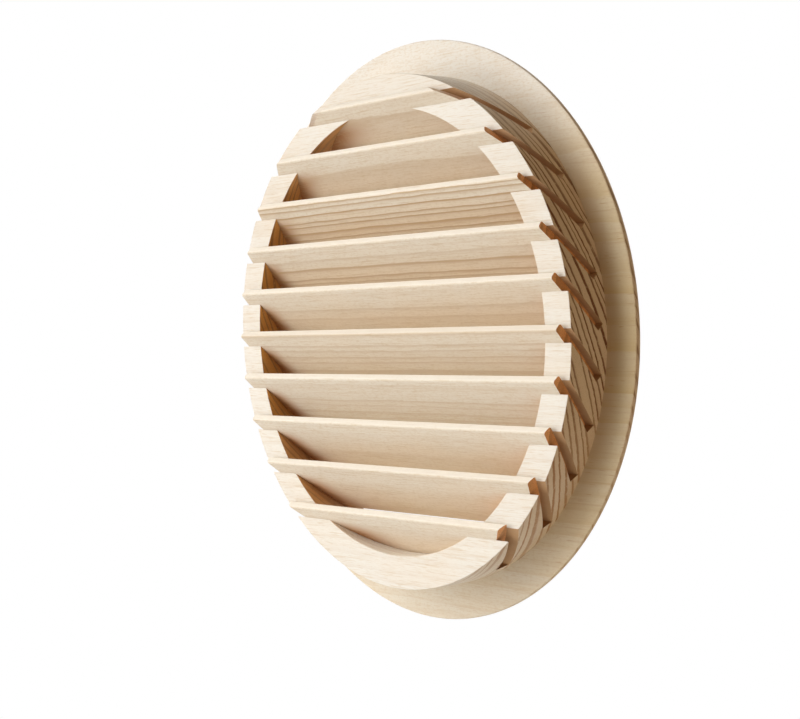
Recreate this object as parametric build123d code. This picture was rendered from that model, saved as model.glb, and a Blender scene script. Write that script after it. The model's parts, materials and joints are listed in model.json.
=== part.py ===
from build123d import *
from math import cos, floor, radians, sin, tan
import os

# Round wooden vent grille for a hole in a wall or a door.
# A short collar goes into the hole and a thin flange behind it covers the edge. Both are one piece of wood, turned
# from a board. Slanting saw cuts run right across the collar and stop short of the flange, and each holds a slat.
# Millimetres, +Z up. The axis is Y: the collar points to -Y, and the flange seats on the wall in the plane Y = 0.

# Driving dimensions of the turned piece
collar_diameter = 158.0
collar_wall = 10.25
collar_depth = 14.0
flange_lip = 11.0  # how far the flange reaches past the collar
flange_thickness = 2.5
room_edge_radius = 1.8  # flange's outer edge on the room side
wall_edge_break = 0.4  # chamfer on the flange's outer edge on the wall side
bore_edge_break = 0.4  # chamfer on the bore's edge on the room side

# Driving dimensions of the slats and their slots
slat_pitch = 14.15
slat_tilt = 47.0  # degrees, each slat falls towards the flange
slat_width = 20.2
slat_thickness = 2.6
slat_nose_radius = 0.7
slat_recess = 3.0  # from the collar's outside in to the slat's end
slot_stop = 1.55  # wood left between a slot and the flange
collar_land = 6.0  # least height of collar left beyond the row of slots
glue_gap = 0.05  # on each face of a slat that sits in its slot

# Sizes that follow
collar_radius = collar_diameter / 2
bore_radius = collar_radius - collar_wall
flange_radius = collar_radius + flange_lip
slat_end_radius = collar_radius - slat_recess
slot_width = slat_thickness + 2 * glue_gap
slot_run = slat_width + glue_gap  # from a slat's leading edge down to its slot's end
tilt = radians(slat_tilt)
leading_edge_y = -slot_stop - slot_run * cos(tilt) - (slot_width - glue_gap) * sin(tilt)

# The row of slats: the leading edge of one lies level with the axis, and the row fills the collar up and down
mouth_rise = slot_width / cos(tilt) - (-collar_depth - leading_edge_y) * tan(tilt)
slats_above_axis = floor((collar_radius - collar_land - mouth_rise) / slat_pitch)
slats_below_axis = floor((collar_radius - collar_land - slot_run * sin(tilt)) / slat_pitch)
leading_edge_heights = [
    place * slat_pitch for place in range(slats_above_axis, -slats_below_axis - 1, -1)
]


def corner_at(section, point):
    """The corner of a section that lies nearest to a point."""
    return section.vertices().sort_by_distance(point)[0]


def slat_plane(leading_edge_z):
    """The plane of a slat's section: x runs down the slat's lower face, y through its thickness."""
    return Plane(
        origin=(0, leading_edge_y, leading_edge_z),
        x_dir=(0, cos(tilt), -sin(tilt)),
        z_dir=(1, 0, 0),
    )


def turned_blank():
    """Collar and flange as they leave the lathe, with the bore through both, from a half section above the axis."""
    room_radius = min(room_edge_radius, flange_thickness - wall_edge_break)
    outline = Polyline(
        (-collar_depth, bore_radius),
        (-collar_depth, collar_radius),
        (0, collar_radius),
        (0, flange_radius),
        (flange_thickness, flange_radius),
        (flange_thickness, bore_radius),
        close=True,
    )
    section = make_face(outline)
    section = chamfer(corner_at(section, (0, flange_radius)), wall_edge_break)
    section = chamfer(corner_at(section, (flange_thickness, bore_radius)), bore_edge_break)
    section = fillet(corner_at(section, (flange_thickness, flange_radius)), room_radius)
    return revolve(Plane.YZ * section, Axis.Y)


def slot_cutter(leading_edge_z):
    """The saw cut of one slat: open at the collar's front face and squared off at its stop."""
    section = Pos(-collar_depth, -glue_gap) * Rectangle(
        collar_depth + slot_run, slot_width, align=(Align.MIN, Align.MIN)
    )
    return extrude(slat_plane(leading_edge_z) * section, amount=flange_radius, both=True)


def flanged_collar():
    """The turned piece with a slot for every slat."""
    piece = turned_blank()
    for leading_edge_z in leading_edge_heights:
        piece -= slot_cutter(leading_edge_z)
    return piece


def slat(leading_edge_z):
    """One slat, its leading edge softened and its ends cut to the round of the collar."""
    section = Sketch() + Rectangle(slat_width, slat_thickness, align=(Align.MIN, Align.MIN))
    section = fillet(corner_at(section, (0, 0)), slat_nose_radius)
    section = fillet(corner_at(section, (0, slat_thickness)), slat_nose_radius)
    strip = extrude(slat_plane(leading_edge_z) * section, amount=collar_radius, both=True)
    return strip & Cylinder(slat_end_radius, 4 * slat_width, rotation=(90, 0, 0))


os.makedirs("parts", exist_ok=True)
export_step(flanged_collar(), "parts/flanged_collar.step")
for number, height in enumerate(leading_edge_heights, start=1):
    export_step(slat(height), f"parts/slat_{number:02d}.step")
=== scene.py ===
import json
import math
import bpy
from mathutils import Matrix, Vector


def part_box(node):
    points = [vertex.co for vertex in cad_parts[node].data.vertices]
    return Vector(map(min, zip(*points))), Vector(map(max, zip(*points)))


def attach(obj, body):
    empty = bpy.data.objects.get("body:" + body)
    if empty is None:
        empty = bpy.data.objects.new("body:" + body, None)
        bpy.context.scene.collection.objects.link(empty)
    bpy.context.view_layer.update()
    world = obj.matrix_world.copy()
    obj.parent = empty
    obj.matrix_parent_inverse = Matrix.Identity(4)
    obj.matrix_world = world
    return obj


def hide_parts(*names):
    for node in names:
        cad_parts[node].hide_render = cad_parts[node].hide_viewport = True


bl_info = {
    "name": "Round Wooden Vent Grille",
    "version": (1, 0, 0),
    "blender": (4, 5, 0),
    "location": "3D View > Sidebar > Vent Grille",
    "description": "Models a round pine vent grille with sloping slats, its wood finish and its stage",
    "category": "Add Mesh",
}

from collections import namedtuple

import bmesh
import bpy
from bpy.props import FloatProperty, FloatVectorProperty, IntProperty, PointerProperty
from mathutils import Quaternion, Vector

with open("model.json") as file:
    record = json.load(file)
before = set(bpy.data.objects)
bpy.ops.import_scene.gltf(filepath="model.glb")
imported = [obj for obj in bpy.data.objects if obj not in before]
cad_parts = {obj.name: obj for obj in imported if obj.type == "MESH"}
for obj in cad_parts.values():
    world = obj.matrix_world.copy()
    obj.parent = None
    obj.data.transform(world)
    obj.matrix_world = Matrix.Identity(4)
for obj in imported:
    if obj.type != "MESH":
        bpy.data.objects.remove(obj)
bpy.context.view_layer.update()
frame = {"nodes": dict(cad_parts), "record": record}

# Sizes that the frame gives, in metres
MM = 0.001
COLLAR_NODE = "flanged_collar"
SLAT_NODES = sorted(name for name in frame["nodes"] if name.startswith("slat_"))
COLLAR_LOW, COLLAR_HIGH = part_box(COLLAR_NODE)
COLLAR_MOUNT = next(mount for mount in frame["record"]["mounts"] if mount["name"] == "collar")
COLLAR_RADIUS = COLLAR_MOUNT["dims"]["r_mm"] * MM
BORE_RADIUS = min(math.hypot(v.co.x, v.co.z) for v in frame["nodes"][COLLAR_NODE].data.vertices)
SLAT_BOXES = [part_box(name) for name in SLAT_NODES]
SLAT_PITCH = (SLAT_BOXES[0][0].z - SLAT_BOXES[-1][0].z) / (len(SLAT_BOXES) - 1)
SLAT_END_RADIUS = max(high.x for low, high in SLAT_BOXES)

# Fineness of the meshes
ROUND_STEPS = 7  # faces across a round
BREAK_STEPS = 2  # faces across a softened edge
DRUM_SIDES = 256
FLOOR_SIDES = 96
SMOOTH_ANGLE = math.radians(20)
WELD_DISTANCE = 0.002 * MM
TOLERANCE = 0.01 * MM

# Lengths with some to spare
CUT_LENGTH = 2.2  # of the flange's radius
STRIP_LENGTH = 2.1  # of the radius that the slats' ends follow
DRUM_DEPTH = 4.0  # of a slat's width

# Grain of the wood
RING_SWAY = 3.0  # slow wander of a ring, in mm
RING_QUIVER = 1.1  # fine wander of a ring, in mm
RING_UNEVENNESS = 1.6  # how far the rings' widths differ, in years
COLLAR_SPECKS = 0.05
SLAT_SPECKS = 0.20
FLANGE_SPECKS = 0.24
RELIEF_DEPTH = 0.06 * MM
SLAT_PITH_REACH = 0.12  # from a slat to the heart of its tree, in metres
SLAT_WAVER = 0.7
COLLAR_WAVER = 0.5

# Fibres on a face: their noise, where they start and where they are full, and how strongly they show
FIBRES = (
    ("Streak", 0.52, 0.78, 0.22),
    ("Thread", 0.52, 0.74, 0.42),
    ("Hair", 0.52, 0.74, 0.36),
)

# How each slat's wood looks, from the top: ring width in mm, lean of the rings in degrees, strength of the
# growth lines, the share of it that is lost at the leading edge, warmth (also of the painted warm shade
# behind the face), and slip along the slot in mm
SlatWood = namedtuple("SlatWood", "ring_width lean figure lost warmth slip")
SLAT_WOODS = [
    SlatWood(3.4, 12.0, 0.34, 0.0, 0.20, 1.4),
    SlatWood(3.8, 20.0, 0.22, 0.1, 0.25, -0.1),
    SlatWood(2.5, 82.0, 1.00, 0.0, 0.40, 0.1),
    SlatWood(2.8, 74.0, 0.62, 0.8, 0.35, 0.5),
    SlatWood(4.2, 60.0, 0.28, 0.7, 0.40, 0.5),
    SlatWood(3.0, 56.0, 0.36, 0.2, 0.30, 0.2),
    SlatWood(3.3, 66.0, 0.20, 0.1, 0.0, 0.0),
    SlatWood(4.4, 30.0, 0.12, 0.4, 0.35, -0.2),
    SlatWood(4.1, 18.0, 0.12, 0.3, 0.40, 0.1),
    SlatWood(3.7, 24.0, 0.14, 0.3, 0.45, -0.5),
]

# Lamps: the property that holds the power, turn to the right and lift in degrees, distance and size in metres
Lamp = namedtuple("Lamp", "power turn lift distance size colour")
LAMPS = {
    "key_softbox": Lamp("key_power", -42.0, 24.0, 3.0, (2.2, 2.9), (1.0, 0.99, 0.975)),
    "low_card": Lamp("low_power", -35.0, -12.0, 2.8, (2.2, 1.0), (1.0, 0.98, 0.95)),
    "right_card": Lamp("fill_power", 78.0, -17.0, 3.0, (1.2, 1.2), (1.0, 0.87, 0.68)),
    "back_card": Lamp("back_power", -158.0, 20.0, 3.0, (2.4, 2.0), (1.0, 0.985, 0.96)),
}

# The floor
FLOOR_COLOUR = (0.85, 0.85, 0.84, 1.0)
FLOOR_GLOW = 0.7
FLOOR_FADE = (0.55, 0.98)  # where it starts to fade and where it is gone, in shares of its radius


class CollarSizes(bpy.types.PropertyGroup):
    """Sizes of the turned collar and its flange."""

    collar_radius: FloatProperty(
        name="Collar Radius",
        description="Outside of the collar",
        default=COLLAR_RADIUS,
        unit="LENGTH",
        precision=4,
    )
    bore_radius: FloatProperty(
        name="Bore Radius",
        description="Inside of the collar",
        default=BORE_RADIUS,
        unit="LENGTH",
        precision=4,
    )
    flange_radius: FloatProperty(
        name="Flange Radius",
        description="Rim of the flange",
        default=COLLAR_HIGH.x,
        unit="LENGTH",
        precision=4,
    )
    collar_depth: FloatProperty(
        name="Collar Depth",
        description="From the flange to the collar's front",
        default=-COLLAR_LOW.y,
        unit="LENGTH",
        precision=4,
    )
    flange_thickness: FloatProperty(
        name="Flange Thickness",
        description="Thickness of the flange",
        default=COLLAR_HIGH.y,
        unit="LENGTH",
        precision=4,
    )
    room_edge: FloatProperty(
        name="Room Edge",
        description="Round on the rim's room side",
        default=1.8 * MM,
        unit="LENGTH",
        precision=4,
    )
    wall_edge: FloatProperty(
        name="Wall Edge",
        description="Break on the rim's wall side and the bore's room side",
        default=0.4 * MM,
        unit="LENGTH",
        precision=4,
    )
    edge_break: FloatProperty(
        name="Edge Break",
        description="Softening of the turned edges",
        default=0.18 * MM,
        unit="LENGTH",
        precision=5,
    )
    turns: IntProperty(
        name="Turns",
        description="Steps of the spin round the axis",
        default=256,
        min=32,
        max=512,
    )


class SlatSizes(bpy.types.PropertyGroup):
    """Sizes of the slats and of the slots that hold them."""

    width: FloatProperty(
        name="Width",
        description="From leading edge to back edge",
        default=20.2 * MM,
        unit="LENGTH",
        precision=4,
    )
    thickness: FloatProperty(
        name="Thickness", description="Thickness of a slat", default=2.6 * MM, unit="LENGTH", precision=4
    )
    tilt: FloatProperty(
        name="Tilt",
        description="Fall towards the flange",
        default=math.radians(47.0),
        subtype="ANGLE",
        unit="ROTATION",
    )
    nose: FloatProperty(
        name="Nose", description="Round on the leading edge", default=0.7 * MM, unit="LENGTH", precision=4
    )
    glue_gap: FloatProperty(
        name="Glue Gap",
        description="Room for glue on each face",
        default=0.05 * MM,
        unit="LENGTH",
        precision=5,
    )
    end_radius: FloatProperty(
        name="End Radius",
        description="Round that the ends follow",
        default=SLAT_END_RADIUS,
        unit="LENGTH",
        precision=4,
    )
    edge_break: FloatProperty(
        name="Edge Break",
        description="Softening of the planed edges",
        default=0.15 * MM,
        unit="LENGTH",
        precision=5,
    )


class PineFinish(bpy.types.PropertyGroup):
    """Colours and grain of the bare pine."""

    collar_colour: FloatVectorProperty(
        name="Collar Wood",
        description="Pale wood of the collar's board",
        default=(0.805, 0.79, 0.74),
        subtype="COLOR",
    )
    slat_colour: FloatVectorProperty(
        name="Slat Wood", description="Pale wood of the slats", default=(0.79, 0.73, 0.628), subtype="COLOR"
    )
    warm_colour: FloatVectorProperty(
        name="Warm Wood",
        description="Peach tone between the rings",
        default=(0.80, 0.665, 0.50),
        subtype="COLOR",
    )
    streak_colour: FloatVectorProperty(
        name="Streaks", description="Tan of the fine fibres", default=(0.60, 0.455, 0.28), subtype="COLOR"
    )
    late_colour: FloatVectorProperty(
        name="Late Wood", description="Darker growth lines", default=(0.50, 0.325, 0.165), subtype="COLOR"
    )
    end_colour: FloatVectorProperty(
        name="End Grain", description="Cut ends of the fibres", default=(0.65, 0.48, 0.30), subtype="COLOR"
    )
    # The bore's end grain, darker and redder than the outside's, as painted shade inside the collar
    bore_grain_and_shade_colour: FloatVectorProperty(
        name="Bore", description="End grain inside the collar", default=(0.68, 0.335, 0.09), subtype="COLOR"
    )
    # Partly sawn end grain and partly painted shade in the slots
    sawn_and_shade_colour: FloatVectorProperty(
        name="Saw Cuts", description="Walls of the slots", default=(0.50, 0.29, 0.13), subtype="COLOR"
    )
    slat_end_colour: FloatVectorProperty(
        name="Slat Ends", description="End grain of the slats", default=(0.80, 0.37, 0.135), subtype="COLOR"
    )
    end_line_colour: FloatVectorProperty(
        name="End Grain Lines",
        description="Growth lines on the cut ends",
        default=(0.17, 0.066, 0.022),
        subtype="COLOR",
    )
    # Painted highlight: this pale tone on the leading edges and on the fronts of the slats' faces stands in
    # for light falling there
    nose_highlight_colour: FloatVectorProperty(
        name="Slat Noses", description="Sanded leading edges", default=(0.92, 0.89, 0.81), subtype="COLOR"
    )
    # This brown colours the real resin canals and growth lines. It is also painted shade: deeper in the bore,
    # the bore wall's shadow on the slats, and the collar's shadow on the flange
    burn_and_shade_colour: FloatVectorProperty(
        name="Burn",
        description="Scorched corners beside the bore",
        default=(0.40, 0.16, 0.045),
        subtype="COLOR",
    )
    # Partly the flange's real tan bands and partly painted shade where the collar shades the flange
    lip_tan_and_shade_colour: FloatVectorProperty(
        name="Flange Face",
        description="Tanned wood of the flange's lower face",
        default=(0.60, 0.445, 0.185),
        subtype="COLOR",
    )
    ring_width: FloatProperty(
        name="Ring Width",
        description="One year's growth in the board",
        default=2.15 * MM,
        unit="LENGTH",
        precision=4,
    )
    pith_back: FloatProperty(
        name="Pith Behind",
        description="How far behind the wall the tree's heart lay",
        default=0.228,
        unit="LENGTH",
    )
    pith_up: FloatProperty(
        name="Pith Above",
        description="How far above the axis the tree's heart lay",
        default=0.095,
        unit="LENGTH",
    )


class StageSettings(bpy.types.PropertyGroup):
    """Camera, lamps and floor."""

    azimuth: FloatProperty(
        name="Azimuth",
        description="Camera's turn to the right",
        default=math.radians(50.557),
        subtype="ANGLE",
    )
    elevation: FloatProperty(
        name="Elevation", description="Camera's height angle", default=math.radians(1.712), subtype="ANGLE"
    )
    roll: FloatProperty(
        name="Roll",
        description="Camera's lean",
        default=math.radians(-2.121),
        subtype="ANGLE",
    )
    distance: FloatProperty(
        name="Distance", description="From the camera to its target", default=0.534563, unit="LENGTH"
    )
    target: FloatVectorProperty(
        name="Target",
        description="Point that the camera looks at",
        default=(-0.011611, 0.0, -0.008768),
        subtype="XYZ",
    )
    lens: FloatProperty(
        name="Lens",
        description="Focal length in millimetres",
        default=75.5,
        subtype="DISTANCE_CAMERA",
    )
    key_power: FloatProperty(
        name="Key Light",
        description="Softbox at the left",
        default=101.0,
        subtype="POWER",
    )
    low_power: FloatProperty(
        name="Low Light",
        description="Card at the lower left",
        default=24.0,
        subtype="POWER",
    )
    fill_power: FloatProperty(
        name="Fill Light",
        description="Card at the far right",
        default=13.0,
        subtype="POWER",
    )
    back_power: FloatProperty(
        name="Back Light",
        description="Card behind at the left",
        default=75.0,
        subtype="POWER",
    )
    ambient: FloatVectorProperty(
        name="Ambient", description="Light of the room", default=(0.18, 0.128, 0.08), subtype="COLOR"
    )
    floor_drop: FloatProperty(
        name="Floor Drop", description="Floor below the axis", default=0.30, unit="LENGTH"
    )
    floor_radius: FloatProperty(
        name="Floor Radius",
        description="Round of the floor",
        default=0.6,
        unit="LENGTH",
    )


# Steps that more than one piece uses

def begin():
    """Leaves edit mode and clears the selection."""
    if bpy.context.mode != "OBJECT":
        bpy.ops.object.mode_set(mode="OBJECT")
    bpy.ops.object.select_all(action="DESELECT")


def only(piece):
    """Makes a piece the active object and the only one selected."""
    begin()
    piece.select_set(True)
    bpy.context.view_layer.objects.active = piece


def apply_place():
    """Moves the selected object's place, turn and size into its mesh."""
    bpy.ops.object.transform_apply(location=True, rotation=True, scale=True)


def edit():
    """Opens the active object in edit mode with nothing selected."""
    bpy.ops.object.mode_set(mode="EDIT")
    bpy.ops.mesh.select_all(action="DESELECT")


def leave_edit():
    """Goes back to object mode."""
    bpy.ops.object.mode_set(mode="OBJECT")


def pick(piece, kind, test):
    """Selects only the vertices or edges that pass a test of their middle and themselves."""
    bpy.ops.mesh.select_mode(type={"verts": "VERT", "edges": "EDGE"}[kind])
    bpy.ops.mesh.select_all(action="DESELECT")
    mesh = bmesh.from_edit_mesh(piece.data)
    chosen = 0
    for item in getattr(mesh, kind):
        if kind == "verts":
            middle = item.co
        else:
            middle = sum((vertex.co for vertex in item.verts), Vector()) / len(item.verts)
        if test(middle, item):
            item.select_set(True)
            chosen += 1
    mesh.select_flush_mode()
    bmesh.update_edit_mesh(piece.data)
    if not chosen:
        raise RuntimeError(f"nothing to select on {piece.name}")


def near(first, second):
    """True if two lengths agree within the tolerance."""
    return abs(first - second) < TOLERANCE


def apply_modifier(piece, kind, **settings):
    """Adds a modifier with its settings and applies it."""
    modifier = piece.modifiers.new(kind.title(), kind)
    for name, value in settings.items():
        setattr(modifier, name, value)
    bpy.context.view_layer.objects.active = piece
    bpy.ops.object.modifier_apply(modifier=modifier.name)


def shade(piece):
    """Shades a piece smoothly up to its sharp edges and keeps its flat faces flat."""
    only(piece)
    bpy.ops.object.shade_smooth_by_angle(angle=SMOOTH_ANGLE)
    apply_modifier(piece, "WEIGHTED_NORMAL", mode="FACE_AREA", weight=100, keep_sharp=True)


def slat_middle(sizes, number):
    """Middle of a slat's section, from the sharp back corners that bound its node's box."""
    low, high = SLAT_BOXES[number]
    along, fall = math.cos(sizes.tilt), math.sin(sizes.tilt)
    depth = high.y - (sizes.width * along + sizes.thickness * fall) / 2
    height = low.z + (sizes.width * fall + sizes.thickness * along) / 2
    return Vector((0.0, depth, height))


def direction(turn, lift):
    """A direction that is turned from the grille's front to the right, and lifted."""
    level = math.cos(lift)
    return Vector((math.sin(turn) * level, -math.cos(turn) * level, math.sin(lift)))


# Wood: nodes that more than one tree uses

def put(socket, value):
    """Links an output to a socket, or sets the socket itself."""
    if isinstance(value, bpy.types.NodeSocket):
        socket.id_data.links.new(value, socket)
    else:
        socket.default_value = value


def maths(tree, operation, *values, clamp=False):
    """A Math node's result."""
    node = tree.nodes.new("ShaderNodeMath")
    node.operation = operation
    node.use_clamp = clamp
    for socket, value in zip(node.inputs, values):
        put(socket, value)
    return node.outputs[0]


def times(tree, *values):
    """The product of two or more values."""
    product = values[0]
    for value in values[1:]:
        product = maths(tree, "MULTIPLY", product, value)
    return product


def vectors(tree, operation, *values):
    """A Vector Math node's result."""
    node = tree.nodes.new("ShaderNodeVectorMath")
    node.operation = operation
    for socket, value in zip(node.inputs, values):
        put(socket, value)
    return node.outputs["Value"] if operation in ("LENGTH", "DOT_PRODUCT") else node.outputs["Vector"]


def split(tree, vector):
    """The three parts of a vector."""
    node = tree.nodes.new("ShaderNodeSeparateXYZ")
    put(node.inputs[0], vector)
    return node.outputs["X"], node.outputs["Y"], node.outputs["Z"]


def from_axis(tree, position):
    """The part of a position that lies across the collar's axis."""
    return vectors(tree, "MULTIPLY", position, (1.0, 0.0, 1.0))


def in_millimetres(tree, position):
    """A position in millimetres."""
    scaled = vectors(tree, "SCALE", position)
    scaled.node.inputs["Scale"].default_value = 1.0 / MM
    return scaled


def step(tree, value, start, end, low=0.0, high=1.0):
    """A smooth change from low to high as a value goes from start to end."""
    node = tree.nodes.new("ShaderNodeMapRange")
    node.interpolation_type = "SMOOTHSTEP"
    put(node.inputs["Value"], value)
    put(node.inputs["From Min"], start)
    put(node.inputs["From Max"], end)
    put(node.inputs["To Min"], low)
    put(node.inputs["To Max"], high)
    return node.outputs["Result"]


def rise(tree, value, start, end, low=0.0, high=1.0):
    """A smooth change from low to high between two places on a piece, in millimetres."""
    return step(tree, value, start * MM, end * MM, low, high)


def blend(tree, factor, first, second):
    """Two colours mixed by a factor."""
    node = tree.nodes.new("ShaderNodeMix")
    node.data_type = "RGBA"
    put(node.inputs[0], factor)
    put(node.inputs[6], first)
    put(node.inputs[7], second)
    return node.outputs[2]


def noise(tree, place, stretch, detail=2.0, roughness=0.5):
    """Noise whose grain is stretched by a vector, in cycles a millimetre."""
    node = tree.nodes.new("ShaderNodeTexNoise")
    put(node.inputs["Vector"], vectors(tree, "MULTIPLY", place, stretch))
    node.inputs["Scale"].default_value = 1.0
    node.inputs["Detail"].default_value = detail
    node.inputs["Roughness"].default_value = roughness
    return node.outputs["Fac"]


def opaque(colour):
    """A colour property as a socket takes it."""
    return (colour[0], colour[1], colour[2], 1.0)


def new_group(name, inputs, outputs):
    """A shader node group with its sockets, or None if it's there already."""
    if name in bpy.data.node_groups:
        return None
    group = bpy.data.node_groups.new(name, "ShaderNodeTree")
    for socket_name, kind, default in inputs:
        socket = group.interface.new_socket(socket_name, in_out="INPUT", socket_type=kind)
        if default is not None:
            socket.default_value = default
    for socket_name in outputs:
        group.interface.new_socket(socket_name, in_out="OUTPUT", socket_type="NodeSocketFloat")
    return group


def placed(tree, group, **values):
    """A group node in a material with its inputs linked or set."""
    node = tree.nodes.new("ShaderNodeGroup")
    node.node_tree = group
    for name, value in values.items():
        put(node.inputs[name.replace("_", " ").title()], value)
    return node.outputs


# Wood: node groups

def growth_rings():
    """Node group: the tree's rings round a pith line along X."""
    name = "Growth Rings"
    group = new_group(
        name,
        [
            ("Position", "NodeSocketVector", None),
            ("Pith", "NodeSocketVector", None),
            ("Ring Width", "NodeSocketFloat", 2.4),
            ("Waver", "NodeSocketFloat", 0.5),
        ],
        ["Line", "Band", "Late Wood", "Year"],
    )
    if group is None:
        return bpy.data.node_groups[name]
    taken = group.nodes.new("NodeGroupInput").outputs
    given = group.nodes.new("NodeGroupOutput").inputs
    place = in_millimetres(group, taken["Position"])
    pith = in_millimetres(group, taken["Pith"])
    # Distance from the pith, which sways slowly and quivers finely, as a count of years of uneven width
    across = vectors(group, "MULTIPLY", vectors(group, "SUBTRACT", place, pith), (0.0, 1.0, 1.0))
    sway = maths(group, "SUBTRACT", noise(group, place, (0.014, 0.05, 0.05)), 0.5)
    quiver = maths(group, "SUBTRACT", noise(group, place, (0.08, 0.5, 0.5)), 0.5)
    waver = maths(group, "ADD", times(group, sway, RING_SWAY), times(group, quiver, RING_QUIVER))
    distance = vectors(group, "LENGTH", across)
    distance = maths(group, "ADD", distance, times(group, waver, taken["Waver"]))
    years = maths(group, "DIVIDE", distance, taken["Ring Width"])
    uneven = group.nodes.new("ShaderNodeTexNoise")
    uneven.noise_dimensions = "1D"
    put(uneven.inputs["W"], times(group, years, 0.37))
    uneven.inputs["Scale"].default_value = 1.0
    uneven.inputs["Detail"].default_value = 1.0
    years = maths(group, "ADD", years, times(group, uneven.outputs["Fac"], RING_UNEVENNESS))
    # Within a year the wood darkens towards its end and stops short there; each year has its own strength
    season = maths(group, "FRACT", years)
    year = group.nodes.new("ShaderNodeTexWhiteNoise")
    year.noise_dimensions = "1D"
    put(year.inputs["W"], maths(group, "FLOOR", years))
    year = year.outputs["Value"]
    ending = step(group, season, 0.95, 1.0, 1.0, 0.0)
    line_strength = maths(group, "MULTIPLY_ADD", year, 0.50, 0.55)
    band_strength = maths(group, "MULTIPLY_ADD", year, 0.45, 0.70, clamp=True)
    broken = step(group, noise(group, place, (0.10, 0.7, 0.7), 3.0, 0.6), 0.22, 0.45)
    put(given["Line"], times(group, step(group, season, 0.62, 0.88), ending, line_strength))
    put(given["Band"], times(group, step(group, season, 0.60, 0.76), ending, band_strength, broken))
    put(given["Late Wood"], times(group, step(group, season, 0.25, 0.96), ending))
    put(given["Year"], year)
    return group


def wood_fibre():
    """Node group: fibres along X, from broad streaks to fine hairs and short resin canals."""
    name = "Wood Fibre"
    group = new_group(
        name,
        [("Position", "NodeSocketVector", None)],
        ["Streak", "Thread", "Hair", "Canal", "Cloud", "Fleck"],
    )
    if group is None:
        return bpy.data.node_groups[name]
    taken = group.nodes.new("NodeGroupInput").outputs
    given = group.nodes.new("NodeGroupOutput").inputs
    place = in_millimetres(group, taken["Position"])
    put(given["Streak"], noise(group, place, (0.035, 1.1, 1.1), 3.0, 0.6))
    put(given["Thread"], noise(group, place, (0.09, 2.2, 2.2), 2.0, 0.6))
    put(given["Hair"], noise(group, place, (0.25, 4.5, 4.5), 2.0, 0.6))
    put(given["Canal"], step(group, noise(group, place, (0.22, 2.4, 2.4), 0.0), 0.72, 0.82))
    put(given["Fleck"], noise(group, place, (0.7, 1.5, 1.5), 1.0, 0.6))
    put(given["Cloud"], noise(group, place, (0.03, 0.06, 0.06)))
    return group


def cut_faces():
    """Node group: which faces show end grain, lie in the bore, were sawn on the slant or lead a slat."""
    name = "Cut Faces"
    group = new_group(
        name,
        [("Position", "NodeSocketVector", None), ("Normal", "NodeSocketVector", None)],
        ["End Grain", "Inside", "Sawn", "Leading", "Pores"],
    )
    if group is None:
        return bpy.data.node_groups[name]
    taken = group.nodes.new("NodeGroupInput").outputs
    given = group.nodes.new("NodeGroupOutput").inputs
    facing_x, facing_y, facing_z = split(group, taken["Normal"])
    across = from_axis(group, taken["Position"])
    slant = maths(group, "ABSOLUTE", times(group, facing_y, facing_z))
    # The bore faces the axis, isn't slanted, and counts for little where it faces up, along the grain
    inward = vectors(group, "DOT_PRODUCT", taken["Normal"], vectors(group, "NORMALIZE", across))
    inside = times(
        group,
        step(group, inward, -0.2, -0.7),
        step(group, slant, 0.30, 0.42, 1.0, 0.0),
        step(group, facing_z, 0.78, 0.95, 1.0, 0.12),
    )
    put(given["Inside"], inside)
    put(given["End Grain"], step(group, maths(group, "ABSOLUTE", facing_x), 0.14, 0.78))
    put(given["Leading"], step(group, maths(group, "SUBTRACT", facing_z, facing_y), 0.9, 1.35))
    # The lower walls of the saw cuts are paler, most of all beyond the slats' ends, so the painted shade of
    # the slots stays deep in, near the slats' ends
    beyond = vectors(group, "LENGTH", across)
    beyond = step(group, beyond, SLAT_END_RADIUS, COLLAR_RADIUS, -0.25, -0.85)
    lower_wall = maths(group, "MULTIPLY_ADD", step(group, facing_y, -0.2, 0.2), beyond, 1.0)
    put(given["Sawn"], times(group, step(group, slant, 0.42, 0.49), lower_wall))
    put(given["Pores"], noise(group, in_millimetres(group, taken["Position"]), (0.9, 4.2, 4.2), 2.0, 0.6))
    return group


# Wood: the pine itself

class Grain:
    """The nodes and colours that a wood material is mixed from."""

    def __init__(self, tree, finish, pith, ring_width, waver):
        coordinates = tree.nodes.new("ShaderNodeTexCoord").outputs
        position = coordinates["Object"]
        self.tree = tree
        self.finish = finish
        self.rings = placed(
            tree, growth_rings(), position=position, pith=pith, ring_width=ring_width / MM, waver=waver
        )
        self.fibre = placed(tree, wood_fibre(), position=position)
        self.cuts = placed(tree, cut_faces(), position=position, normal=coordinates["Normal"])
        self.x, self.y, self.z = split(tree, position)
        self.off_axis = vectors(tree, "LENGTH", from_axis(tree, position))
        self.late = opaque(finish.late_colour)
        self.warm = opaque(finish.warm_colour)
        self.streak = opaque(finish.streak_colour)
        self.line = opaque(finish.end_line_colour)
        self.burn_and_shade = opaque(finish.burn_and_shade_colour)
        self.nose = opaque(finish.nose_highlight_colour)


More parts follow.
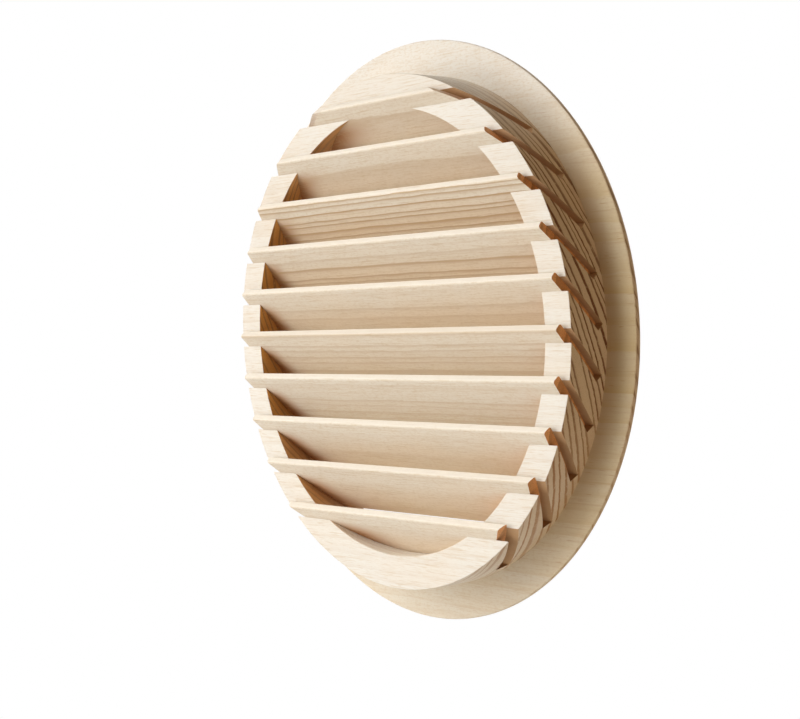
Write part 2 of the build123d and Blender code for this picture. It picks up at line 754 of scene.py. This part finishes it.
def flange_face(grain, face):
    """The collar's face grain, with the flange tanned partly by real bands and partly by painted shade,
    streaks, and a painted shadow of the collar on the flange's right side.
    """
    tree = grain.tree
    # The tint follows the growth bands. Its strength by place (strong on the sides, none at the top, weaker
    # at the bottom) is painted shade
    tan_and_shade = times(
        tree,
        rise(tree, grain.y, -5.0, -0.5, 0.0, 0.9),
        rise(tree, grain.z, 80.0, 30.0),
        rise(tree, grain.z, -80.0, -25.0, 0.72, 1.0),
        rise(tree, maths(tree, "ABSOLUTE", grain.x), 10.0, 75.0, 0.45, 1.0),
    )
    bands = maths(tree, "MULTIPLY_ADD", grain.rings["Late Wood"], 0.12, 0.66)
    bands = maths(tree, "MULTIPLY_ADD", grain.rings["Year"], 0.22, bands)
    face = blend(tree, times(tree, tan_and_shade, bands), face, opaque(grain.finish.lip_tan_and_shade_colour))
    # Painted shadow: the flange darkens close to the collar on the right, where the collar's shadow falls
    painted_collar_shadow = rise(tree, grain.off_axis, 87.0, 79.0)
    right_side = rise(tree, grain.x, 50.0, 80.0, 0.0, 0.40)
    face = blend(tree, times(tree, painted_collar_shadow, tan_and_shade, right_side), face, grain.burn_and_shade)
    streaks = step(tree, grain.fibre["Streak"], 0.50, 0.74, 0.0, 0.55)
    face = blend(tree, times(tree, tan_and_shade, streaks), face, grain.late)
    return blend(tree, times(tree, tan_and_shade, grain.fibre["Canal"], 0.45), face, grain.burn_and_shade)


def slat_face(grain, face, warmth):
    """A slat's face grain, with painted warm shade behind, painted light in front, and a painted shadow of
    the bore's wall on the left.
    """
    tree = grain.tree
    # Painted warm shade deeper in, behind the face, and painted light on its front
    face = blend(tree, rise(tree, grain.y, -15.0, -8.5, 0.0, 1.3 * warmth), face, grain.warm)
    face = blend(tree, rise(tree, grain.y, -16.5, -9.0, 0.28, 0.0), face, grain.nose)
    # Painted shadow of the bore's wall on the slat's face, stronger on the left
    painted_bore_shadow = times(
        tree,
        rise(tree, grain.off_axis, 59.0, 69.0),
        rise(tree, grain.y, -15.2, -10.0),
        rise(tree, grain.x, 0.0, -25.0, 0.1, 1.0),
    )
    return blend(tree, painted_bore_shadow, face, grain.burn_and_shade)


def figured(grain, face, figure, lost, specks):
    """Growth lines, fibres, specks and resin canals over a face."""
    tree, rings, fibre = grain.tree, grain.rings, grain.fibre
    face = blend(tree, times(tree, rings["Year"], 0.25 * (0.3 + figure)), face, grain.warm)
    strength = rise(tree, grain.y, -15.0, -9.5, figure * (1.0 - lost), figure)
    face = blend(tree, times(tree, rings["Late Wood"], strength, 0.45), face, grain.late)
    face = blend(tree, times(tree, rings["Line"], strength, 0.85), face, grain.late)
    for name, start, end, share in FIBRES:
        face = blend(tree, step(tree, fibre[name], start, end, 0.0, share), face, grain.streak)
    specks = rise(tree, grain.y, -4.0, -1.0, specks, FLANGE_SPECKS)
    specks = times(tree, specks, step(tree, fibre["Fleck"], 0.48, 0.68))
    face = blend(tree, specks, face, grain.streak)
    return blend(tree, times(tree, fibre["Canal"], 0.20), face, grain.late)


def collar_cuts(grain, face):
    """The collar's end grain, bore and saw cuts over its face grain, with painted shade in the bore and slots
    and painted light at the bottom and top.
    """
    tree, finish, rings, cuts = grain.tree, grain.finish, grain.rings, grain.cuts
    ends, inside = cuts["End Grain"], cuts["Inside"]
    # In the bore the end grain is darker and redder as painted shade, and darker still deeper in, also as
    # painted shade
    end = blend(tree, inside, opaque(finish.end_colour), opaque(finish.bore_grain_and_shade_colour))
    end = blend(tree, times(tree, inside, rise(tree, grain.y, -13.0, -4.0, 0.0, 0.55)), end, grain.burn_and_shade)
    end = blend(tree, times(tree, rings["Late Wood"], 0.30), end, grain.late)
    end = blend(tree, step(tree, cuts["Pores"], 0.50, 0.75, 0.0, 0.35), end, grain.line)
    bore = times(tree, inside, 0.9)
    # The end grain's colour fades towards the bottom and the top: painted light on the lower pads and the top
    # wall
    low_fade = rise(tree, grain.z, -58.0, -22.0, 0.60, 1.0)
    high_fade = rise(tree, grain.z, 45.0, 72.0, 1.0, 0.55)
    wood = blend(tree, maths(tree, "MAXIMUM", times(tree, ends, low_fade, high_fade), bore), face, end)
    # Growth lines on the cut ends: fainter in the bore, on the rim and at the top, and redder at the bottom
    lines = times(
        tree,
        rings["Band"],
        step(tree, inside, 0.0, 1.0, 1.0, 0.5),
        rise(tree, grain.off_axis, 88.0, 89.5, 1.0, 0.55),
        rise(tree, grain.z, 42.0, 70.0, 1.0, 0.40),
        rise(tree, grain.z, -50.0, -12.0, 0.75, 1.0),
        maths(tree, "MAXIMUM", ends, bore),
    )
    tone = blend(tree, rise(tree, grain.z, -50.0, -12.0, 0.25, 1.0), grain.burn_and_shade, grain.line)
    wood = blend(tree, lines, wood, tone)
    # Saw cuts: sawn end grain with painted shade, paler on the left where the light falls and darker on the
    # right
    sawn_and_shade = times(tree, cuts["Sawn"], rise(tree, grain.x, -30.0, 20.0, 0.12, 0.9))
    return blend(tree, sawn_and_shade, wood, opaque(finish.sawn_and_shade_colour))


def slat_cuts(grain, face):
    """A slat's leading edge with its painted highlight, and its end grain, over its face grain."""
    tree, cuts = grain.tree, grain.cuts
    # Painted highlight on the leading edge, where it faces up and to the front
    face = blend(tree, times(tree, cuts["Leading"], 0.6), face, grain.nose)
    late_wood = times(tree, grain.rings["Late Wood"], 0.40)
    end = blend(tree, late_wood, opaque(grain.finish.slat_end_colour), grain.line)
    end = blend(tree, step(tree, cuts["Pores"], 0.45, 0.75, 0.0, 0.50), end, grain.line)
    return blend(tree, cuts["End Grain"], face, end)


def relief(grain):
    """A bumped normal: fibres and growth lines stand proud and resin canals are sunk."""
    tree, fibre = grain.tree, grain.fibre
    height = times(tree, fibre["Hair"], 0.6)
    height = maths(tree, "ADD", height, times(tree, fibre["Streak"], 0.5))
    height = maths(tree, "ADD", height, times(tree, grain.rings["Line"], 0.35))
    height = maths(tree, "SUBTRACT", height, times(tree, fibre["Canal"], 0.6))
    bump = tree.nodes.new("ShaderNodeBump")
    bump.inputs["Strength"].default_value = 0.5
    bump.inputs["Distance"].default_value = RELIEF_DEPTH
    put(bump.inputs["Height"], height)
    return bump.outputs["Normal"]


def pine(name, finish, early, pith, ring_width, figure, lost, warmth, waver, turned):
    """Bare pine with its grain along X, for the turned collar or for a slat."""
    material = bpy.data.materials.new(name)
    material.use_nodes = True
    tree = material.node_tree
    grain = Grain(tree, finish, pith, ring_width, waver)
    patches = times(tree, step(tree, grain.fibre["Cloud"], 0.40, 0.70), warmth)
    face = blend(tree, patches, early, grain.warm)
    if turned:
        face = figured(grain, flange_face(grain, face), figure, lost, COLLAR_SPECKS)
        wood = collar_cuts(grain, face)
    else:
        face = figured(grain, slat_face(grain, face, warmth), figure, lost, SLAT_SPECKS)
        wood = slat_cuts(grain, face)
    shader = tree.nodes["Principled BSDF"]
    put(shader.inputs["Base Color"], wood)
    put(shader.inputs["Roughness"], step(tree, grain.fibre["Hair"], 0.3, 0.8, 0.66, 0.84))
    shader.inputs["Specular IOR Level"].default_value = 0.22
    put(shader.inputs["Normal"], relief(grain))
    return material


class VENT_OT_flanged_collar(bpy.types.Operator):
    """Turns the collar with its flange, saws its slots and finishes it in pine"""

    bl_idname = "vent.flanged_collar"
    bl_label = "Add Flanged Collar"

    def execute(self, context):
        sizes = context.scene.vent_collar
        slats = context.scene.vent_slats
        finish = context.scene.vent_pine
        piece = self.turn(sizes)
        cutter = self.saw_cuts(sizes, slats)
        only(piece)
        apply_modifier(piece, "BOOLEAN", operation="DIFFERENCE", object=cutter, solver="EXACT")
        bpy.data.objects.remove(cutter)
        shade(piece)
        material = pine(
            "collar_pine",
            finish,
            early=opaque(finish.collar_colour),
            pith=(0.0, finish.pith_back, finish.pith_up),
            ring_width=finish.ring_width,
            figure=0.08,
            lost=0.0,
            warmth=0.20,
            waver=COLLAR_WAVER,
            turned=True,
        )
        piece.data.materials.clear()
        piece.data.materials.append(material)
        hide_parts(COLLAR_NODE)
        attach(piece, "root")
        return {"FINISHED"}

    def turn(self, sizes):
        """The collar and flange from a half section, spun round the axis."""
        begin()
        front, back = -sizes.collar_depth, sizes.flange_thickness
        wall = sizes.collar_radius - sizes.bore_radius
        lip = sizes.flange_radius - sizes.collar_radius
        bpy.ops.mesh.primitive_plane_add(
            size=1.0,
            location=(0.0, front / 2, sizes.bore_radius + wall / 2),
            rotation=(0.0, math.pi / 2, 0.0),
        )
        piece = bpy.context.active_object
        piece.name = piece.data.name = "turned_collar"
        piece.scale = (wall, sizes.collar_depth, 1.0)
        apply_place()
        edit()
        # The flange: back through its thickness, then out to its rim
        pick(piece, "edges", lambda middle, edge: near(middle.y, 0.0))
        bpy.ops.mesh.extrude_region_move(TRANSFORM_OT_translate={"value": (0.0, back, 0.0)})
        pick(
            piece,
            "edges",
            lambda middle, edge: near(middle.y, back / 2) and near(middle.z, sizes.collar_radius),
        )
        bpy.ops.mesh.extrude_region_move(TRANSFORM_OT_translate={"value": (0.0, 0.0, lip)})
        pick(piece, "edges", lambda middle, edge: len(edge.link_faces) == 2)
        bpy.ops.mesh.dissolve_edges(use_verts=False)
        # Round of the rim, and breaks of the rim's, the bore's and the collar's edges
        self.round_corner(piece, back, sizes.flange_radius, sizes.room_edge, ROUND_STEPS)
        self.round_corner(piece, 0.0, sizes.flange_radius, sizes.wall_edge, BREAK_STEPS)
        self.round_corner(piece, back, sizes.bore_radius, sizes.wall_edge, BREAK_STEPS)
        self.round_corner(piece, front, sizes.bore_radius, sizes.edge_break, BREAK_STEPS)
        self.round_corner(piece, front, sizes.collar_radius, sizes.edge_break, BREAK_STEPS)
        bpy.ops.mesh.select_all(action="SELECT")
        bpy.ops.mesh.delete(type="ONLY_FACE")
        bpy.ops.mesh.select_all(action="SELECT")
        bpy.ops.mesh.spin(
            steps=sizes.turns, angle=2 * math.pi, center=(0.0, 0.0, 0.0), axis=(0.0, 1.0, 0.0)
        )
        bpy.ops.mesh.select_all(action="SELECT")
        bpy.ops.mesh.remove_doubles(threshold=WELD_DISTANCE)
        bpy.ops.mesh.normals_make_consistent(inside=False)
        leave_edit()
        return piece

    def round_corner(self, piece, depth, radius, size, steps):
        """Rounds one corner of the half section."""
        pick(piece, "verts", lambda middle, vertex: near(middle.y, depth) and near(middle.z, radius))
        bpy.ops.mesh.bevel(offset=size, segments=steps, affect="VERTICES")

    def saw_cuts(self, sizes, slats):
        """One saw cut as a block at the top slat's place, repeated down the row."""
        run = slats.width + slats.glue_gap
        spare = sizes.collar_depth
        begin()
        bpy.ops.mesh.primitive_cube_add(size=1.0)
        cutter = bpy.context.active_object
        cutter.scale = (
            CUT_LENGTH * sizes.flange_radius,
            run + spare,
            slats.thickness + 2 * slats.glue_gap,
        )
        back = Vector((0.0, math.cos(slats.tilt), -math.sin(slats.tilt)))
        cutter.location = slat_middle(slats, 0) + back * (slats.glue_gap - spare) / 2
        cutter.rotation_euler = (-slats.tilt, 0.0, 0.0)
        apply_place()
        apply_modifier(
            cutter,
            "ARRAY",
            count=len(SLAT_NODES),
            use_relative_offset=False,
            use_constant_offset=True,
            constant_offset_displace=(0.0, 0.0, -SLAT_PITCH),
        )
        return cutter


class VENT_OT_slats(bpy.types.Operator):
    """Planes one strip, copies it down the row and trims each copy to the round"""

    bl_idname = "vent.slats"
    bl_label = "Add Slats"

    def execute(self, context):
        sizes = context.scene.vent_slats
        strip = self.plane_strip(sizes)
        drum = self.trimming_round(sizes)
        for number, node in enumerate(SLAT_NODES):
            self.fit_slat(context, strip, drum, number, node)
        bpy.data.objects.remove(strip)
        bpy.data.objects.remove(drum)
        return {"FINISHED"}

    def plane_strip(self, sizes):
        """A strip with a rounded leading edge, tilted, its section's middle at the origin."""
        begin()
        bpy.ops.mesh.primitive_cube_add(size=1.0)
        strip = bpy.context.active_object
        strip.scale = (STRIP_LENGTH * sizes.end_radius, sizes.width, sizes.thickness)
        apply_place()
        edit()
        self.soften_side(strip, -sizes.width / 2, sizes.nose, ROUND_STEPS)
        self.soften_side(strip, sizes.width / 2, sizes.edge_break, BREAK_STEPS)
        leave_edit()
        strip.rotation_euler = (-sizes.tilt, 0.0, 0.0)
        only(strip)
        apply_place()
        return strip

    def soften_side(self, strip, depth, size, steps):
        """Rounds the two long edges at one side of the strip."""
        pick(strip, "edges", lambda middle, edge: near(middle.x, 0.0) and near(middle.y, depth))
        bpy.ops.mesh.bevel(offset=size, segments=steps, affect="EDGES")

    def trimming_round(self, sizes):
        """The drum that cuts the slats' ends to the round."""
        begin()
        bpy.ops.mesh.primitive_cylinder_add(
            vertices=DRUM_SIDES,
            radius=sizes.end_radius,
            depth=DRUM_DEPTH * sizes.width,
            rotation=(math.pi / 2, 0.0, 0.0),
        )
        drum = bpy.context.active_object
        apply_place()
        return drum

    def fit_slat(self, context, strip, drum, number, node):
        """One slat: a copy of the strip at its node's place, trimmed to the round."""
        sizes = context.scene.vent_slats
        finish = context.scene.vent_pine
        wood = SLAT_WOODS[number]
        middle = slat_middle(sizes, number)
        piece = strip.copy()
        piece.data = strip.data.copy()
        piece.name = piece.data.name = f"planed_{node}"
        context.collection.objects.link(piece)
        only(piece)
        piece.location = middle
        apply_place()
        apply_modifier(piece, "BOOLEAN", operation="INTERSECT", object=drum, solver="EXACT")
        piece.location = (wood.slip * MM, 0.0, 0.0)
        only(piece)
        apply_place()
        shade(piece)
        # The heart of the tree lies off the slat's face, so the rings cross it at their own lean
        turn = math.radians(90.0 - wood.lean) - sizes.tilt
        pith_y = middle.y + SLAT_PITH_REACH * math.cos(turn)
        pith_z = middle.z + SLAT_PITH_REACH * math.sin(turn)
        material = pine(
            f"slat_pine_{number + 1:02d}",
            finish,
            early=opaque(finish.slat_colour),
            pith=(0.0, pith_y, pith_z),
            ring_width=wood.ring_width * MM,
            figure=wood.figure,
            lost=wood.lost,
            warmth=wood.warmth,
            waver=SLAT_WAVER,
            turned=False,
        )
        piece.data.materials.clear()
        piece.data.materials.append(material)
        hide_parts(node)
        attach(piece, "root")


class VENT_OT_stage(bpy.types.Operator):
    """Sets the camera, the lamps, the pale floor and the white background"""

    bl_idname = "vent.stage"
    bl_label = "Set Stage"

    def execute(self, context):
        settings = context.scene.vent_stage
        context.scene.view_settings.view_transform = "Standard"
        self.camera(context, settings)
        for name, lamp in LAMPS.items():
            self.lamp(name, lamp, getattr(settings, lamp.power))
        self.room(context, settings)
        self.floor(settings)
        return {"FINISHED"}

    def camera(self, context, settings):
        """The camera at the photograph's viewing angle."""
        begin()
        back = direction(settings.azimuth, settings.elevation)
        bpy.ops.object.camera_add(location=Vector(settings.target) + back * settings.distance)
        camera = context.active_object
        lean = Quaternion((0.0, 0.0, 1.0), settings.roll)
        camera.rotation_euler = (back.to_track_quat("Z", "Y") @ lean).to_euler()
        camera.data.sensor_fit = "HORIZONTAL"
        camera.data.sensor_width = 36.0
        camera.data.lens = settings.lens
        camera.data.clip_start = 0.01
        context.scene.camera = camera

    def lamp(self, name, lamp, power):
        """A soft lamp aimed at the grille."""
        begin()
        out = direction(math.radians(lamp.turn), math.radians(lamp.lift))
        bpy.ops.object.light_add(type="AREA", location=out * lamp.distance)
        light = bpy.context.active_object
        light.name = name
        light.rotation_euler = out.to_track_quat("Z", "Y").to_euler()
        light.data.shape = "RECTANGLE"
        light.data.size, light.data.size_y = lamp.size
        light.data.energy = power
        light.data.color = lamp.colour

    def room(self, context, settings):
        """White to the eye, and a low warm light on the wood."""
        world = bpy.data.worlds.new("studio")
        context.scene.world = world
        world.use_nodes = True
        tree = world.node_tree
        path = tree.nodes.new("ShaderNodeLightPath").outputs
        seen = maths(tree, "MAXIMUM", path["Is Camera Ray"], path["Is Glossy Ray"])
        seen = maths(tree, "MAXIMUM", seen, path["Is Transmission Ray"])
        background = tree.nodes["Background"]
        put(background.inputs["Color"], blend(tree, seen, opaque(settings.ambient), (1.0, 1.0, 1.0, 1.0)))
        background.inputs["Strength"].default_value = 1.0

    def floor(self, settings):
        """A round pale floor that fades out towards its edge."""
        begin()
        bpy.ops.mesh.primitive_circle_add(
            vertices=FLOOR_SIDES,
            radius=settings.floor_radius,
            fill_type="NGON",
            location=(0.0, 0.0, -settings.floor_drop),
        )
        floor = bpy.context.active_object
        floor.name = "pale_floor"
        apply_place()
        material = bpy.data.materials.new("pale_floor")
        material.use_nodes = True
        tree = material.node_tree
        shader = tree.nodes["Principled BSDF"]
        shader.inputs["Base Color"].default_value = FLOOR_COLOUR
        shader.inputs["Roughness"].default_value = 0.9
        shader.inputs["Specular IOR Level"].default_value = 0.0
        path = tree.nodes.new("ShaderNodeLightPath").outputs
        glow = tree.nodes.new("ShaderNodeEmission")
        put(glow.inputs["Strength"], times(tree, path["Is Camera Ray"], FLOOR_GLOW))
        both = tree.nodes.new("ShaderNodeAddShader")
        put(both.inputs[0], shader.outputs[0])
        put(both.inputs[1], glow.outputs[0])
        clear = tree.nodes.new("ShaderNodeBsdfTransparent")
        mix = tree.nodes.new("ShaderNodeMixShader")
        place = tree.nodes.new("ShaderNodeTexCoord").outputs["Object"]
        reach = vectors(tree, "LENGTH", vectors(tree, "MULTIPLY", place, (1.0, 1.0, 0.0)))
        start, end = (share * settings.floor_radius for share in FLOOR_FADE)
        put(mix.inputs[0], step(tree, reach, start, end))
        put(mix.inputs[1], both.outputs[0])
        put(mix.inputs[2], clear.outputs[0])
        put(tree.nodes["Material Output"].inputs["Surface"], mix.outputs[0])
        floor.data.materials.append(material)


class VENT_PT_panel(bpy.types.Panel):
    """The grille's pieces, stage and sizes"""

    bl_idname = "VENT_PT_panel"
    bl_label = "Vent Grille"
    bl_space_type = "VIEW_3D"
    bl_region_type = "UI"
    bl_category = "Vent Grille"

    def draw(self, context):
        layout = self.layout
        layout.operator(VENT_OT_flanged_collar.bl_idname)
        layout.operator(VENT_OT_slats.bl_idname)
        layout.operator(VENT_OT_stage.bl_idname)
        for group_name in GROUPS:
            group = getattr(context.scene, group_name)
            box = layout.box()
            for name in group.__annotations__:
                box.prop(group, name)


GROUPS = {
    "vent_collar": CollarSizes,
    "vent_slats": SlatSizes,
    "vent_pine": PineFinish,
    "vent_stage": StageSettings,
}
CLASSES = (*GROUPS.values(), VENT_OT_flanged_collar, VENT_OT_slats, VENT_OT_stage, VENT_PT_panel)


def register():
    for item in CLASSES:
        bpy.utils.register_class(item)
    for name, group in GROUPS.items():
        setattr(bpy.types.Scene, name, PointerProperty(type=group))


def unregister():
    for name in GROUPS:
        delattr(bpy.types.Scene, name)
    for item in reversed(CLASSES):
        bpy.utils.unregister_class(item)


def main():
    register()
    bpy.ops.vent.flanged_collar()
    bpy.ops.vent.slats()
    bpy.ops.vent.stage()


if __name__ == "__main__":
    main()
